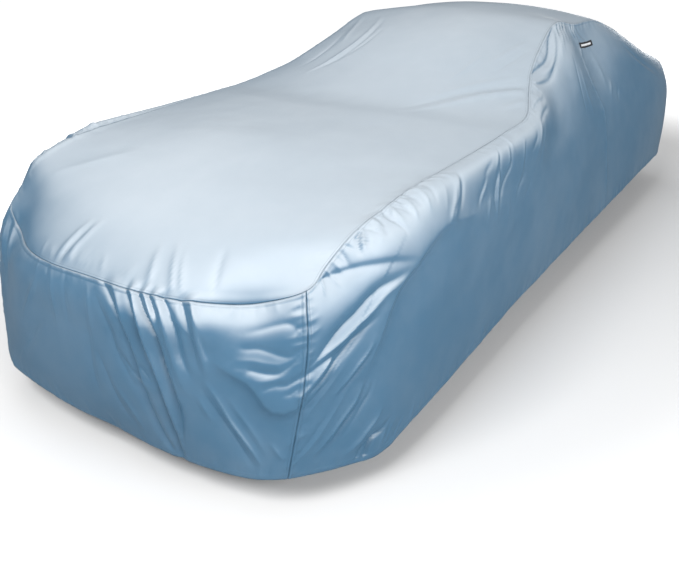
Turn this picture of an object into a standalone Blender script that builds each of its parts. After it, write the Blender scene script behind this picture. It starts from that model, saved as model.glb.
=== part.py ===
"""A fitted outdoor cover for a long-bonnet coupe, hanging as it does over the car.

Metres, +Z up, nose towards -Y, the car's left side towards +X. The tables are in millimetres
from the front axle on the ground. The finished pieces are moved so that the origin is the
point under the top where the roof holds the cover up.
"""

import bpy
import numpy as np

MM = 0.001
CLOTH = 0.002  # coated cloth with its fleece backing
SEAM_GAP = 0.0005  # between two panels, measured along the cloth
ROOF_REST = np.array((0.0, 2.12, 1.358))  # underside of the top, on the middle of the roof

ACROSS = 16  # spans from the centre line to a corner seam, at nose and tail
AHEAD = 38  # spans from the front corner seam to the middle seam
BEHIND = 18  # spans from the middle seam to the rear corner seam
DOWN = 10  # spans from the top seam to the hem
PACKING = 1.25  # over 1, the spans ahead of the middle seam lie closer towards the nose

# Sections down the left half of the cover. Columns: seam, roll, shoulder, belt, hem, as x, y, z.
# Across the nose, from the centre line outwards.
NOSE = (
    ((0, -885, 715), (0, -912, 665), (0, -925, 520), (0, -925, 300), (0, -889, 112)),
    ((220, -877, 711), (225, -905, 665), (230, -918, 520), (235, -920, 300), (240, -896, 110)),
    ((440, -815, 702), (460, -850, 660), (475, -875, 520), (485, -890, 300), (490, -882, 114)),
    ((610, -720, 705), (635, -755, 660), (655, -790, 520), (665, -820, 300), (660, -845, 120)),
)
# Along the side, from the front corner seam to the rear corner seam.
SIDE = (
    ((745, -655, 757), (765, -690, 700), (785, -725, 540), (785, -755, 310), (762, -778, 125)),
    ((768, -572, 822), (820, -565, 775), (860, -600, 560), (865, -630, 310), (856, -645, 120)),
    ((795, -478, 892), (850, -455, 868), (905, -475, 620), (925, -490, 330), (920, -500, 105)),
    ((815, -310, 935), (868, -285, 917), (930, -290, 700), (950, -290, 360), (948, -290, 145)),
    ((818, -155, 952), (868, -125, 958), (940, -110, 800), (956, -100, 420), (952, -100, 157)),
    ((822, 100, 962), (870, 130, 966), (940, 150, 810), (957, 150, 450), (952, 150, 175)),
    ((826, 420, 972), (870, 440, 968), (930, 450, 800), (955, 450, 450), (948, 450, 190)),
    ((826, 685, 985), (866, 700, 972), (925, 710, 780), (952, 710, 470), (945, 710, 205)),
    ((812, 970, 1004), (857, 975, 978), (915, 980, 770), (948, 1000, 490), (944, 1000, 210)),
    ((735, 1180, 1060), (790, 1170, 1035), (890, 1180, 790), (940, 1200, 490), (944, 1200, 220)),
    ((680, 1340, 1125), (725, 1400, 1140), (865, 1420, 820), (935, 1420, 490), (945, 1420, 225)),
    ((635, 1550, 1205), (675, 1620, 1240), (860, 1650, 830), (930, 1660, 490), (946, 1660, 235)),
    ((600, 1870, 1305), (665, 1870, 1235), (860, 1900, 820), (920, 1930, 500), (948, 1930, 240)),
    ((614, 2120, 1278), (700, 2120, 1130), (860, 2120, 815), (915, 2120, 520), (947, 2120, 245)),
    ((625, 2500, 1265), (710, 2500, 1165), (865, 2500, 835), (920, 2500, 530), (949, 2500, 255)),
    ((640, 2800, 1200), (735, 2800, 1130), (875, 2800, 850), (928, 2800, 550), (949, 2800, 262)),
    ((660, 3100, 1105), (765, 3100, 1045), (885, 3100, 860), (930, 3100, 560), (948, 3100, 265)),
    ((680, 3400, 1000), (790, 3400, 955), (885, 3400, 840), (925, 3400, 560), (937, 3400, 255)),
    ((690, 3650, 945), (790, 3650, 900), (870, 3650, 790), (905, 3650, 550), (910, 3650, 225)),
    ((650, 3840, 905), (740, 3880, 870), (825, 3860, 720), (855, 3870, 500), (850, 3840, 235)),
)
MIDDLE_SEAM = 13  # the row of SIDE that the seam between the two side panels follows
# Across the tail, from beside the rear corner seam to the centre line.
TAIL = (
    ((520, 3890, 900), (570, 3930, 860), (640, 3950, 720), (660, 3950, 500), (650, 3910, 240)),
    ((370, 3915, 900), (400, 3955, 860), (430, 3980, 720), (440, 3980, 500), (430, 3940, 240)),
    ((190, 3930, 900), (200, 3970, 860), (210, 3995, 720), (220, 3995, 500), (210, 3955, 240)),
    ((0, 3935, 900), (0, 3975, 860), (0, 4000, 720), (0, 4000, 500), (0, 3960, 240)),
)
# The top's centre line, as y, z, one point for each row of SIDE.
SPINE = (
    (-885, 715), (-790, 785), (-670, 845), (-470, 905), (-280, 945), (-30, 985), (280, 1005),
    (530, 1018), (790, 1035), (1060, 1110), (1280, 1190), (1550, 1280), (1860, 1345),
    (2120, 1360), (2500, 1335), (2800, 1285), (3100, 1195), (3400, 1090), (3650, 1000),
    (3935, 900),
)

# The cover sits unevenly: its far front corner is drawn in, and its hem is up a little there.
DRAWN_IN = 0.026
HEM_UP = 0.028

# Main folds of the panels round the cover. Start, middle and end are (along, down): metres round
# from the left front corner seam, positive towards the tail, and metres down from the top seam.
# Columns: start, middle, end, width, height (negative for a trough).
SKIRT_FOLDS = (
    ((-0.61, 0.00), (-0.51, 0.31), (-0.47, 0.59), 0.050, 0.011),  # down the nose, left of centre
    ((-0.52, 0.00), (-0.45, 0.26), (-0.45, 0.56), 0.045, 0.010),
    ((-0.73, 0.03), (-0.66, 0.30), (-0.54, 0.51), 0.050, -0.009),
    ((-0.25, 0.23), (-0.20, 0.38), (-0.13, 0.56), 0.045, 0.008),  # low on the nose
    ((-0.26, 0.15), (-0.14, 0.20), (-0.03, 0.19), 0.045, 0.010),  # round the headlamp corner
    ((-0.20, 0.25), (-0.12, 0.27), (-0.02, 0.30), 0.040, -0.009),
    ((-1.10, 0.07), (-1.20, 0.24), (-1.34, 0.46), 0.050, -0.009),  # far front corner
    ((0.05, 0.06), (0.26, 0.10), (0.48, 0.21), 0.050, -0.010),  # from the corner to the wheel arch
    ((0.46, 0.23), (0.20, 0.17), (-0.03, 0.29), 0.045, -0.016),
    ((0.42, 0.26), (0.18, 0.24), (-0.03, 0.35), 0.045, 0.014),
    ((0.30, 0.25), (0.27, 0.34), (0.16, 0.45), 0.045, -0.010),
    ((0.16, 0.38), (0.12, 0.50), (0.10, 0.60), 0.045, 0.008),
    ((0.28, 0.60), (0.24, 0.68), (0.20, 0.78), 0.050, -0.016),  # gathered ahead of the wheel
    ((1.40, 0.03), (1.33, 0.16), (1.18, 0.30), 0.050, 0.008),  # under the windscreen corner
    ((2.70, 0.02), (2.45, 0.05), (2.15, 0.02), 0.050, -0.014),  # behind the front pillar
    ((2.86, 0.02), (2.80, 0.20), (2.78, 0.40), 0.050, 0.008),  # below the roof gather
    ((3.60, 0.12), (3.80, 0.22), (4.10, 0.26), 0.060, -0.008),  # over the rear wing
)
# The same for the top. Start, middle and end are (x, y).
TOP_FOLDS = (
    ((0.34, 0.78), (0.54, 1.02), (0.72, 1.21), 0.050, -0.010),  # across the foot of the windscreen
    ((0.44, 0.76), (0.62, 0.98), (0.78, 1.12), 0.050, 0.009),
    ((-0.44, 1.02), (-0.34, 1.30), (-0.40, 1.72), 0.050, 0.009),  # up the windscreen's far side
    ((0.36, 1.08), (0.48, 1.30), (0.56, 1.60), 0.050, -0.006),
)
FOLD_STEPS = 12  # straight steps that stand in for a fold's curve

# A woven label lies on the left rear side panel, beside the middle seam under the roof edge.
LABEL_LENGTH = 0.17
LABEL_WIDTH = 0.032
LABEL_THICKNESS = 0.001
LABEL_LIFT = 0.0003  # its gap to the cloth
LABEL_BEHIND_SEAM = 0.015
LABEL_DOWN = 0.115  # from the top seam
LABEL_STEPS = 17

CLOTH_COLOUR = (0.30, 0.42, 0.54)
LABEL_COLOUR = (0.02, 0.02, 0.025)
SHARP = np.radians(40)  # edges sharper than this aren't shaded smooth


def through(knots, values, at):
    """A smooth curve through values at the knots, read at the given places."""
    step = np.diff(knots)
    shape = (-1,) + (1,) * (values.ndim - 1)
    wide = step.reshape(shape)
    slope = np.diff(values, axis=0) / wide
    lean = np.empty_like(values)
    lean[1:-1] = (slope[:-1] * wide[1:] + slope[1:] * wide[:-1]) / (wide[1:] + wide[:-1])
    lean[0] = 2 * slope[0] - lean[1]
    lean[-1] = 2 * slope[-1] - lean[-2]
    span = np.clip(np.searchsorted(knots, at, side="right") - 1, 0, len(step) - 1)
    wide = wide[span]
    t = ((at - knots[span]) / step[span]).reshape(shape)
    start = (2 * t**3 - 3 * t**2 + 1) * values[span] + (t**3 - 2 * t**2 + t) * wide * lean[span]
    end = (3 * t**2 - 2 * t**3) * values[span + 1] + (t**3 - t**2) * wide * lean[span + 1]
    return start + end


def chord(points):
    """Distance along a line of points, from its first."""
    return np.concatenate(((0.0,), np.cumsum(np.linalg.norm(np.diff(points, axis=0), axis=1))))


def ease(x):
    x = np.clip(x, 0, 1)
    return x * x * (3 - 2 * x)


def half_skirt():
    """The left half of the side panels: how far round each column is, and its points down."""
    sections = np.array(NOSE + SIDE + TAIL) * MM
    mirrored = sections * (-1, 1, 1)
    ring = np.concatenate((mirrored[3:0:-1], sections, mirrored[-2:-5:-1]))
    along = chord(ring[:, 2:4].mean(axis=1))
    corner = 3 + len(NOSE)
    along -= along[corner]
    rear = corner + len(SIDE) - 1
    packed = np.linspace(0, 1, AHEAD + 1) ** PACKING
    columns = np.concatenate((
        np.linspace(along[3], 0, ACROSS + 1),
        packed[1:] * along[corner + MIDDLE_SEAM],
        np.linspace(along[corner + MIDDLE_SEAM], along[rear], BEHIND + 1)[1:],
        np.linspace(along[rear], along[rear + len(TAIL)], ACROSS + 1)[1:],
    ))
    down = []
    for section in through(along, ring, columns):
        knots = chord(section)
        down.append(through(knots / knots[-1], section, np.linspace(0, 1, DOWN + 1)))
    spine = through(along[corner : rear + 1], np.array(SPINE) * MM, columns[ACROSS:-ACROSS])
    return columns, np.array(down), spine


def half_top(skirt, spine):
    """The left half of the top: rows from nose to tail, each from the centre line to the seam."""
    nose = skirt[: ACROSS + 1, 0]
    side = skirt[ACROSS:-ACROSS, 0]
    tail = skirt[: -ACROSS - 2 : -1, 0]
    across = np.linspace(0, 1, ACROSS + 1)
    back = np.linspace(0, 1, len(side))[:, None]

    def share(end, axis):
        return (end[:, axis] - end[0, axis]) / (end[-1, axis] - end[0, axis])

    like_nose = np.clip(1 - back / 0.22, 0, 1) ** 2
    like_tail = np.clip(1 - (1 - back) / 0.12, 0, 1) ** 2
    plain = 1 - like_nose - like_tail
    out = across * plain + share(nose, 0) * like_nose + share(tail, 0) * like_tail
    sweep = out**2 * plain + share(nose, 1) * like_nose + share(tail, 1) * like_tail
    rows = np.empty((len(side), ACROSS + 1, 3))
    rows[..., 0] = side[:, :1] * out
    rows[..., 1] = spine[:, :1] + (side[:, 1:2] - spine[:, :1]) * sweep
    rows[..., 2] = spine[:, 1:] + (side[:, 2:] - spine[:, 1:]) * out**2.2
    for end, row, reach in ((nose, 0, back / 0.10), (tail, -1, (1 - back) / 0.08)):
        rows[..., 2] += (end[:, 2] - rows[row, :, 2]) * np.clip(1 - reach, 0, 1) ** 2
    return rows


def settled(points):
    """The points with the far front corner drawn in and its hem up a little."""
    drawn = ease(-points[..., 0] / 0.5) * ease((0.7 - points[..., 1]) / 1.0)
    points[..., 0] += DRAWN_IN * drawn
    points[..., 2] += HEM_UP * drawn * ease((0.5 - points[..., 2]) / 0.4)
    return points


def fold_height(places, folds):
    """How far out the folds push the cloth at each place."""
    height = np.zeros(places.shape[:-1])
    for start, middle, end, width, rise in folds:
        t = np.linspace(0, 1, FOLD_STEPS + 1)[:, None]
        start, middle, end = (np.array(point) for point in (start, middle, end))
        bend = 2 * middle - (start + end) / 2
        line = (1 - t) ** 2 * start + 2 * t * (1 - t) * bend + t**2 * end
        nearest = np.full(height.shape, np.inf)
        reached = np.zeros(height.shape)
        for step in range(FOLD_STEPS):
            run = line[step + 1] - line[step]
            part = np.clip((places - line[step]) @ run / (run @ run), 0, 1)
            away = np.linalg.norm(places - line[step] - part[..., None] * run, axis=-1)
            reached = np.where(away < nearest, (step + part) / FOLD_STEPS, reached)
            nearest = np.minimum(nearest, away)
        fade = np.minimum(1, 4 * np.minimum(reached, 1 - reached) + 0.25)
        height += rise * fade * np.exp(-((nearest / (0.5 * width)) ** 2))
    return height


def cover_net():
    """The cover as one net: points, the skirt's and top's grids of point numbers, and the skirt's
    distances round and down."""
    columns, left, spine = half_skirt()
    right = left[-2:0:-1] * (-1, 1, 1)
    skirt = settled(np.concatenate((left, right)))
    along = np.concatenate((columns, 2 * columns[0] - columns[-2:0:-1]))
    depth = np.array([chord(column) for column in skirt])
    skirt_places = np.stack(np.broadcast_arrays(along[:, None], depth), axis=-1)

    left_top = half_top(left, spine)
    top = settled(np.concatenate((left_top[:, :0:-1] * (-1, 1, 1), left_top), axis=1))

    rounds = len(skirt)
    skirt_grid = np.arange(rounds * (DOWN + 1)).reshape(rounds, DOWN + 1)
    rows = len(top)
    top_grid = np.empty(top.shape[:2], int)
    inner = top[1:-1, 1:-1]
    numbers = skirt_grid.size + np.arange(inner[..., 0].size)
    top_grid[1:-1, 1:-1] = numbers.reshape(inner.shape[:2])
    top_grid[0] = skirt_grid[np.arange(-ACROSS, ACROSS + 1), 0]
    top_grid[:, -1] = skirt_grid[ACROSS : ACROSS + rows, 0]
    top_grid[:, 0] = skirt_grid[-ACROSS - np.arange(rows), 0]
    top_grid[-1] = skirt_grid[len(left) - 1 - np.arange(-ACROSS, ACROSS + 1), 0]

    points = np.concatenate((skirt.reshape(-1, 3), inner.reshape(-1, 3)))
    lift = np.concatenate((
        fold_height(skirt_places, SKIRT_FOLDS).ravel(),
        fold_height(inner[..., :2], TOP_FOLDS).ravel(),
    ))
    closed = np.concatenate((skirt_grid, skirt_grid[:1]))
    points += outward_at(points, (closed, top_grid)) * lift[:, None]
    return points, skirt_grid, top_grid, columns, depth


def triangles(grid):
    """Two triangles for each cell of a grid of point numbers, all turned the same way."""
    a, b = grid[:-1, :-1].ravel(), grid[1:, :-1].ravel()
    c, d = grid[1:, 1:].ravel(), grid[:-1, 1:].ravel()
    return np.concatenate((np.stack((a, c, b), axis=1), np.stack((a, d, c), axis=1)))


def outward_at(points, grids):
    """Each point's direction out of the cloth, averaged over the triangles round it."""
    total = np.zeros_like(points)
    for grid in grids:
        faces = triangles(grid)
        first, second, third = (points[faces[:, k]] for k in range(3))
        facing = np.cross(second - first, third - first)
        for k in range(3):
            np.add.at(total, faces[:, k], facing)
    return total / np.linalg.norm(total, axis=1, keepdims=True)


def edge_drawn_back(sheet):
    """The sheet's grid of points with its four edges drawn back by half a seam gap."""
    drawn = sheet.copy()
    for axis in (0, 1):
        for edge, inside in ((0, 1), (-1, -2)):
            run = np.take(sheet, inside, axis) - np.take(sheet, edge, axis)
            run *= 0.5 * SEAM_GAP / np.linalg.norm(run, axis=1, keepdims=True)
            drawn.swapaxes(0, axis)[edge] += run
    return drawn


def cloth_piece(name, outer, inner, finish):
    """One closed solid between two grids of points, with a rim all round."""
    grid = np.arange(outer[..., 0].size).reshape(outer.shape[:2])
    rim = np.concatenate((grid[0, :-1], grid[:-1, -1], grid[-1, :0:-1], grid[:0:-1, 0]))
    ahead = np.roll(rim, -1)
    under = grid.size
    faces = np.concatenate((
        triangles(grid),
        triangles(grid)[:, ::-1] + under,
        np.stack((ahead, rim, rim + under), axis=1),
        np.stack((ahead, rim + under, ahead + under), axis=1),
    ))
    points = np.concatenate((outer.reshape(-1, 3), inner.reshape(-1, 3)))
    mesh = bpy.data.meshes.new(name)
    mesh.from_pydata(points.tolist(), [], faces.tolist())
    mesh.materials.append(finish)
    mesh.shade_smooth()
    mesh.set_sharp_from_angle(angle=SHARP)
    piece = bpy.data.objects.new(name, mesh)
    bpy.context.scene.collection.objects.link(piece)


def finish(name, colour, roughness):
    material = bpy.data.materials.new(name)
    material.use_nodes = True
    surface = material.node_tree.nodes["Principled BSDF"]
    surface.inputs["Base Color"].default_value = (*colour, 1)
    surface.inputs["Roughness"].default_value = roughness
    surface.inputs["Metallic"].default_value = 0
    return material


def label_places(columns, depth):
    """Where the label's points lie on the skirt's grid, as fractions of its columns and rows."""
    start = columns[ACROSS + AHEAD] + LABEL_BEHIND_SEAM
    along = np.linspace(start, start + LABEL_LENGTH, LABEL_STEPS + 1)
    column = np.interp(along, columns, np.arange(len(columns)))
    down = np.linspace(LABEL_DOWN, LABEL_DOWN + LABEL_WIDTH, 3)
    row = np.array([np.interp(down, depth[int(k)], np.arange(DOWN + 1)) for k in column])
    return np.broadcast_to(column[:, None], row.shape), row


def on_cells(values, grid, column, row):
    """Values of the net at fractional places of a grid, straight across each triangle."""
    i, j = column.astype(int), row.astype(int)
    u, v = (column - i)[..., None], (row - j)[..., None]
    a, b = values[grid[i, j]], values[grid[i + 1, j]]
    c, d = values[grid[i + 1, j + 1]], values[grid[i, j + 1]]
    return a + np.where(u > v, u * (b - a) + v * (c - b), v * (d - a) + u * (c - d))


for old in list(bpy.data.objects):
    bpy.data.objects.remove(old, do_unlink=True)

points, skirt, top, columns, depth = cover_net()
points -= ROOF_REST
closed = np.concatenate((skirt, skirt[:1]))
outward = outward_at(points, (closed, top))
lining = points - CLOTH * outward

cloth = finish("coated cloth", CLOTH_COLOUR, 0.38)
nose_end, middle, tail_start = ACROSS, ACROSS + AHEAD, ACROSS + AHEAD + BEHIND
panels = {
    "top_panel": top,
    "front_panel": skirt[np.arange(-nose_end, nose_end + 1)],
    "left_front_side_panel": skirt[nose_end : middle + 1],
    "left_rear_side_panel": skirt[middle : tail_start + 1],
    "rear_panel": skirt[tail_start : len(skirt) - tail_start + 1],
    "right_rear_side_panel": skirt[len(skirt) - tail_start : len(skirt) - middle + 1],
    "right_front_side_panel": skirt[len(skirt) - middle : len(skirt) - nose_end + 1],
}
for name, grid in panels.items():
    cloth_piece(name, edge_drawn_back(points[grid]), edge_drawn_back(lining[grid]), cloth)

column, row = label_places(columns, depth)
base = on_cells(points, skirt, column, row)
lift = on_cells(outward, skirt, column, row)
under, face = base + LABEL_LIFT * lift, base + (LABEL_LIFT + LABEL_THICKNESS) * lift
cloth_piece("sewn_label", face, under, finish("woven label", LABEL_COLOUR, 0.7))
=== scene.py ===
"""The looks of the fitted car cover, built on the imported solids.

Metres in the solids' frame: the nose points to -Y, the cover's left side to +X, and the origin is
under the middle of the roof. The panels are laid over the same sections as the solids, on a finer
net, and their folds, seams, puckers and hem are worked into that net.
"""

from math import pi, radians

import bpy
import numpy as np
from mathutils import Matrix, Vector, noise


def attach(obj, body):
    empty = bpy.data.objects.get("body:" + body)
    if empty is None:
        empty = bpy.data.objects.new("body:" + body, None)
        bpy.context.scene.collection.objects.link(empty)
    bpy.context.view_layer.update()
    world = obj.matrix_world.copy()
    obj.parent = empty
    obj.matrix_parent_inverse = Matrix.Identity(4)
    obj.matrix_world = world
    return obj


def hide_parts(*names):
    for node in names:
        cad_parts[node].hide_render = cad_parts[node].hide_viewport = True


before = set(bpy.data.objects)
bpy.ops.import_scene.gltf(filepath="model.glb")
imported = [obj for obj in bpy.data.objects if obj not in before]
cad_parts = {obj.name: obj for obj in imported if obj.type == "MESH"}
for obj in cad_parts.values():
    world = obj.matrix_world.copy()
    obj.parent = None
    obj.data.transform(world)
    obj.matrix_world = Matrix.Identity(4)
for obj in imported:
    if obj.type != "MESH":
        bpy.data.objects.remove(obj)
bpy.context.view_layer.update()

bpy.ops.object.select_all(action="DESELECT")

# ---- Camera -------------------------------------------------------------------------------------
# A lens of about 40 mm, held above roof height off the cover's left front corner and turned down
# over the bonnet. It leans a fifth of a degree.
camera = bpy.data.objects.new("camera", bpy.data.cameras.new("camera"))
camera.data.sensor_width = 36
camera.data.lens = 39.93
camera.location = (1.9810, -4.4625, 0.3989)
camera.rotation_euler = (radians(64.313), radians(0.217), radians(33.315))
bpy.context.scene.collection.objects.link(camera)
bpy.context.scene.camera = camera

# ---- Floor and light ----------------------------------------------------------------------------
# A plain white floor that glows away from the cover and isn't seen in the cloth's gloss. Soft
# lights hang in front, on the right and behind, for the top's sheen, and two low ones light the
# left side and the tail. None of them is seen by the camera.
GROUND = -1.358
GLOW_START, GLOW_FULL = 3.0, 5.4  # distances from the middle, those across counted 1.6 times
GLOW = 0.8


class Wire:
    """A shader socket that Python sums can be written with."""

    def __init__(self, tree, socket=None):
        self.tree = tree
        self.socket = socket

    def node(self, kind, settings, inputs, output=0):
        """Adds a node of a type, with its settings, and its sockets' values or links."""
        made = self.tree.nodes.new(kind)
        for name, value in settings.items():
            setattr(made, name, value)
        self.feed(made, inputs)
        return Wire(self.tree, made.outputs[output])

    def feed(self, node, inputs):
        """Gives a node's sockets their values or links."""
        for name, value in inputs.items():
            if isinstance(value, Wire):
                self.tree.links.new(value.socket, node.inputs[name])
            else:
                node.inputs[name].default_value = value

    def maths(self, operation, first, second=0.0):
        return self.node("ShaderNodeMath", {"operation": operation}, {0: first, 1: second})

    def __add__(self, other):
        return self.maths("ADD", self, other)

    __radd__ = __add__

    def __sub__(self, other):
        return self.maths("SUBTRACT", self, other)

    def __mul__(self, other):
        return self.maths("MULTIPLY", self, other)

    __rmul__ = __mul__


def smooth_step(value, low, high):
    """0 below low, 1 above high, and eased between."""
    inputs = {"Value": value, "From Min": low, "From Max": high}
    return value.node("ShaderNodeMapRange", {"interpolation_type": "SMOOTHSTEP"}, inputs)


def mixed(share, first, second):
    """The first colour, with a share of the second over it."""
    return share.node("ShaderNodeMix", {"data_type": "RGBA"}, {0: share, 6: first, 7: second}, 2)


def new_material(name):
    """A material, a wire of its tree and its surface node."""
    material = bpy.data.materials.new(name)
    material.use_nodes = True
    return material, Wire(material.node_tree), material.node_tree.nodes["Principled BSDF"]


bpy.ops.mesh.primitive_plane_add(size=60, location=(0, 0, GROUND))
floor = bpy.context.object
floor.name = "floor"
floor_paint, wire, surface = new_material("floor paint")
spot = wire.node("ShaderNodeTexCoord", {}, {}, "Object")
spot = spot.node("ShaderNodeVectorMath", {"operation": "MULTIPLY"}, {0: spot, 1: (1.6, 1, 1)})
distance = spot.node("ShaderNodeVectorMath", {"operation": "LENGTH"}, {"Vector": spot}, "Value")
glow = mixed(smooth_step(distance, GLOW_START, GLOW_FULL), (0, 0, 0, 1), (GLOW, GLOW, GLOW, 1))
wire.feed(surface, {
    "Base Color": (0.76, 0.76, 0.76, 1), "Roughness": 0.9, "Specular IOR Level": 0.2,
    "Emission Color": glow, "Emission Strength": 1.0,
})
floor.data.materials.append(floor_paint)
floor.visible_glossy = False

sky = bpy.data.worlds.new("sky")
sky.use_nodes = True
sky.node_tree.nodes["Background"].inputs["Color"].default_value = (1, 1, 1, 1)
sky.node_tree.nodes["Background"].inputs["Strength"].default_value = 0.30
bpy.context.scene.world = sky
bpy.context.scene.view_settings.view_transform = "Standard"


def soft_light(name, place, towards, size, brightness):
    """A rectangular soft light of the given width and height in metres, and its brightness."""
    light = bpy.data.objects.new(name, bpy.data.lights.new(name, "AREA"))
    light.data.shape = "RECTANGLE"
    light.data.size, light.data.size_y = size
    light.data.energy = pi * size[0] * size[1] * brightness
    light.location = place
    light.visible_camera = False
    light.rotation_euler = (Vector(towards) - Vector(place)).to_track_quat("-Z", "Y").to_euler()
    bpy.context.scene.collection.objects.link(light)


soft_light("light_front", (0.0, -6.7, 4.3), (0, -1.5, -0.4), (3.4, 3.4), 12.0)
soft_light("light_right", (-5.0, -0.15, 4.3), (0, -1.5, -0.4), (3.6, 3.2), 2.2)
soft_light("light_behind", (-3.2, 2.7, 4.3), (0, -1.5, -0.4), (4.8, 3.2), 1.2)
soft_light("light_left", (7.5, -3.5, 2.0), (0.5, -1.2, -0.8), (7, 3), 8.2)
soft_light("light_tail", (-1.0, 7.5, -0.3), (0, 1.8, -0.8), (3.2, 1.6), 5.0)


# ---- Left front side panel ----------------------------------------------------------------------
# The big panel that shows best, one cut of satin coated polyester from the nose corner to the seam
# behind the door. It is sewn to the top along the bonnet and pillar, and its hem hangs free.
MM = 0.001
ROOF_REST = np.array((0.0, 2.12, 1.358))  # the frame's origin, in the tables' coordinates

# Sections down the left half of the cover, in millimetres from a point on the ground 2.12 m ahead
# of the frame's origin. They are those of the solids, but for an even slope at the windscreen
# pillars. Columns: seam, roll, shoulder, belt, hem, as x, y, z.
# Across the nose, from the centre line outwards.
NOSE = (
    ((0, -885, 715), (0, -912, 665), (0, -925, 520), (0, -925, 300), (0, -889, 112)),
    ((220, -877, 711), (225, -905, 665), (230, -918, 520), (235, -920, 300), (240, -896, 110)),
    ((440, -815, 702), (460, -850, 660), (475, -875, 520), (485, -890, 300), (490, -882, 114)),
    ((610, -720, 705), (635, -755, 660), (655, -790, 520), (665, -820, 300), (660, -845, 120)),
)
# Along the side, from the front corner seam to the rear corner seam.
SIDE = (
    ((745, -655, 757), (765, -690, 700), (785, -725, 540), (785, -755, 310), (762, -778, 125)),
    ((768, -572, 822), (820, -565, 775), (860, -600, 560), (865, -630, 310), (856, -645, 120)),
    ((795, -478, 892), (850, -455, 868), (905, -475, 620), (925, -490, 330), (920, -500, 105)),
    ((815, -310, 935), (868, -285, 917), (930, -290, 700), (950, -290, 360), (948, -290, 145)),
    ((818, -155, 952), (868, -125, 958), (940, -110, 800), (956, -100, 420), (952, -100, 157)),
    ((822, 100, 962), (870, 130, 966), (940, 150, 810), (957, 150, 450), (952, 150, 175)),
    ((826, 420, 972), (870, 440, 968), (930, 450, 800), (955, 450, 450), (948, 450, 190)),
    ((826, 685, 985), (866, 700, 972), (925, 710, 780), (952, 710, 470), (945, 710, 205)),
    ((812, 970, 1004), (857, 975, 978), (915, 980, 770), (948, 1000, 490), (944, 1000, 210)),
    ((735, 1180, 1060), (790, 1170, 1035), (890, 1180, 790), (940, 1200, 490), (944, 1200, 220)),
    ((680, 1340, 1125), (730, 1380, 1078), (865, 1420, 820), (935, 1420, 490), (945, 1420, 225)),
    ((635, 1550, 1205), (692, 1590, 1158), (860, 1650, 830), (930, 1660, 490), (946, 1660, 235)),
    ((600, 1870, 1305), (665, 1870, 1235), (860, 1900, 820), (920, 1930, 500), (948, 1930, 240)),
    ((614, 2120, 1278), (700, 2120, 1130), (860, 2120, 815), (915, 2120, 520), (947, 2120, 245)),
    ((625, 2500, 1265), (710, 2500, 1165), (865, 2500, 835), (920, 2500, 530), (949, 2500, 255)),
    ((640, 2800, 1200), (735, 2800, 1130), (875, 2800, 850), (928, 2800, 550), (949, 2800, 262)),
    ((660, 3100, 1105), (765, 3100, 1045), (885, 3100, 860), (930, 3100, 560), (948, 3100, 265)),
    ((680, 3400, 1000), (790, 3400, 955), (885, 3400, 840), (925, 3400, 560), (937, 3400, 255)),
    ((690, 3650, 945), (790, 3650, 900), (870, 3650, 790), (905, 3650, 550), (910, 3650, 225)),
    ((650, 3840, 905), (740, 3880, 870), (825, 3860, 720), (855, 3870, 500), (850, 3840, 235)),
)
MIDDLE_SEAM = 13  # the row of SIDE that the seam between the two side panels follows
# Across the tail, from beside the rear corner seam to the centre line.
TAIL = (
    ((520, 3890, 900), (570, 3930, 860), (640, 3950, 720), (660, 3950, 500), (650, 3910, 240)),
    ((370, 3915, 900), (400, 3955, 860), (430, 3980, 720), (440, 3980, 500), (430, 3940, 240)),
    ((190, 3930, 900), (200, 3970, 860), (210, 3995, 720), (220, 3995, 500), (210, 3955, 240)),
    ((0, 3935, 900), (0, 3975, 860), (0, 4000, 720), (0, 4000, 500), (0, 3960, 240)),
)
DRAWN_IN = 0.026  # the far front corner is pulled in this far
HEM_UP = 0.028  # and its hem is up this much

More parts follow.
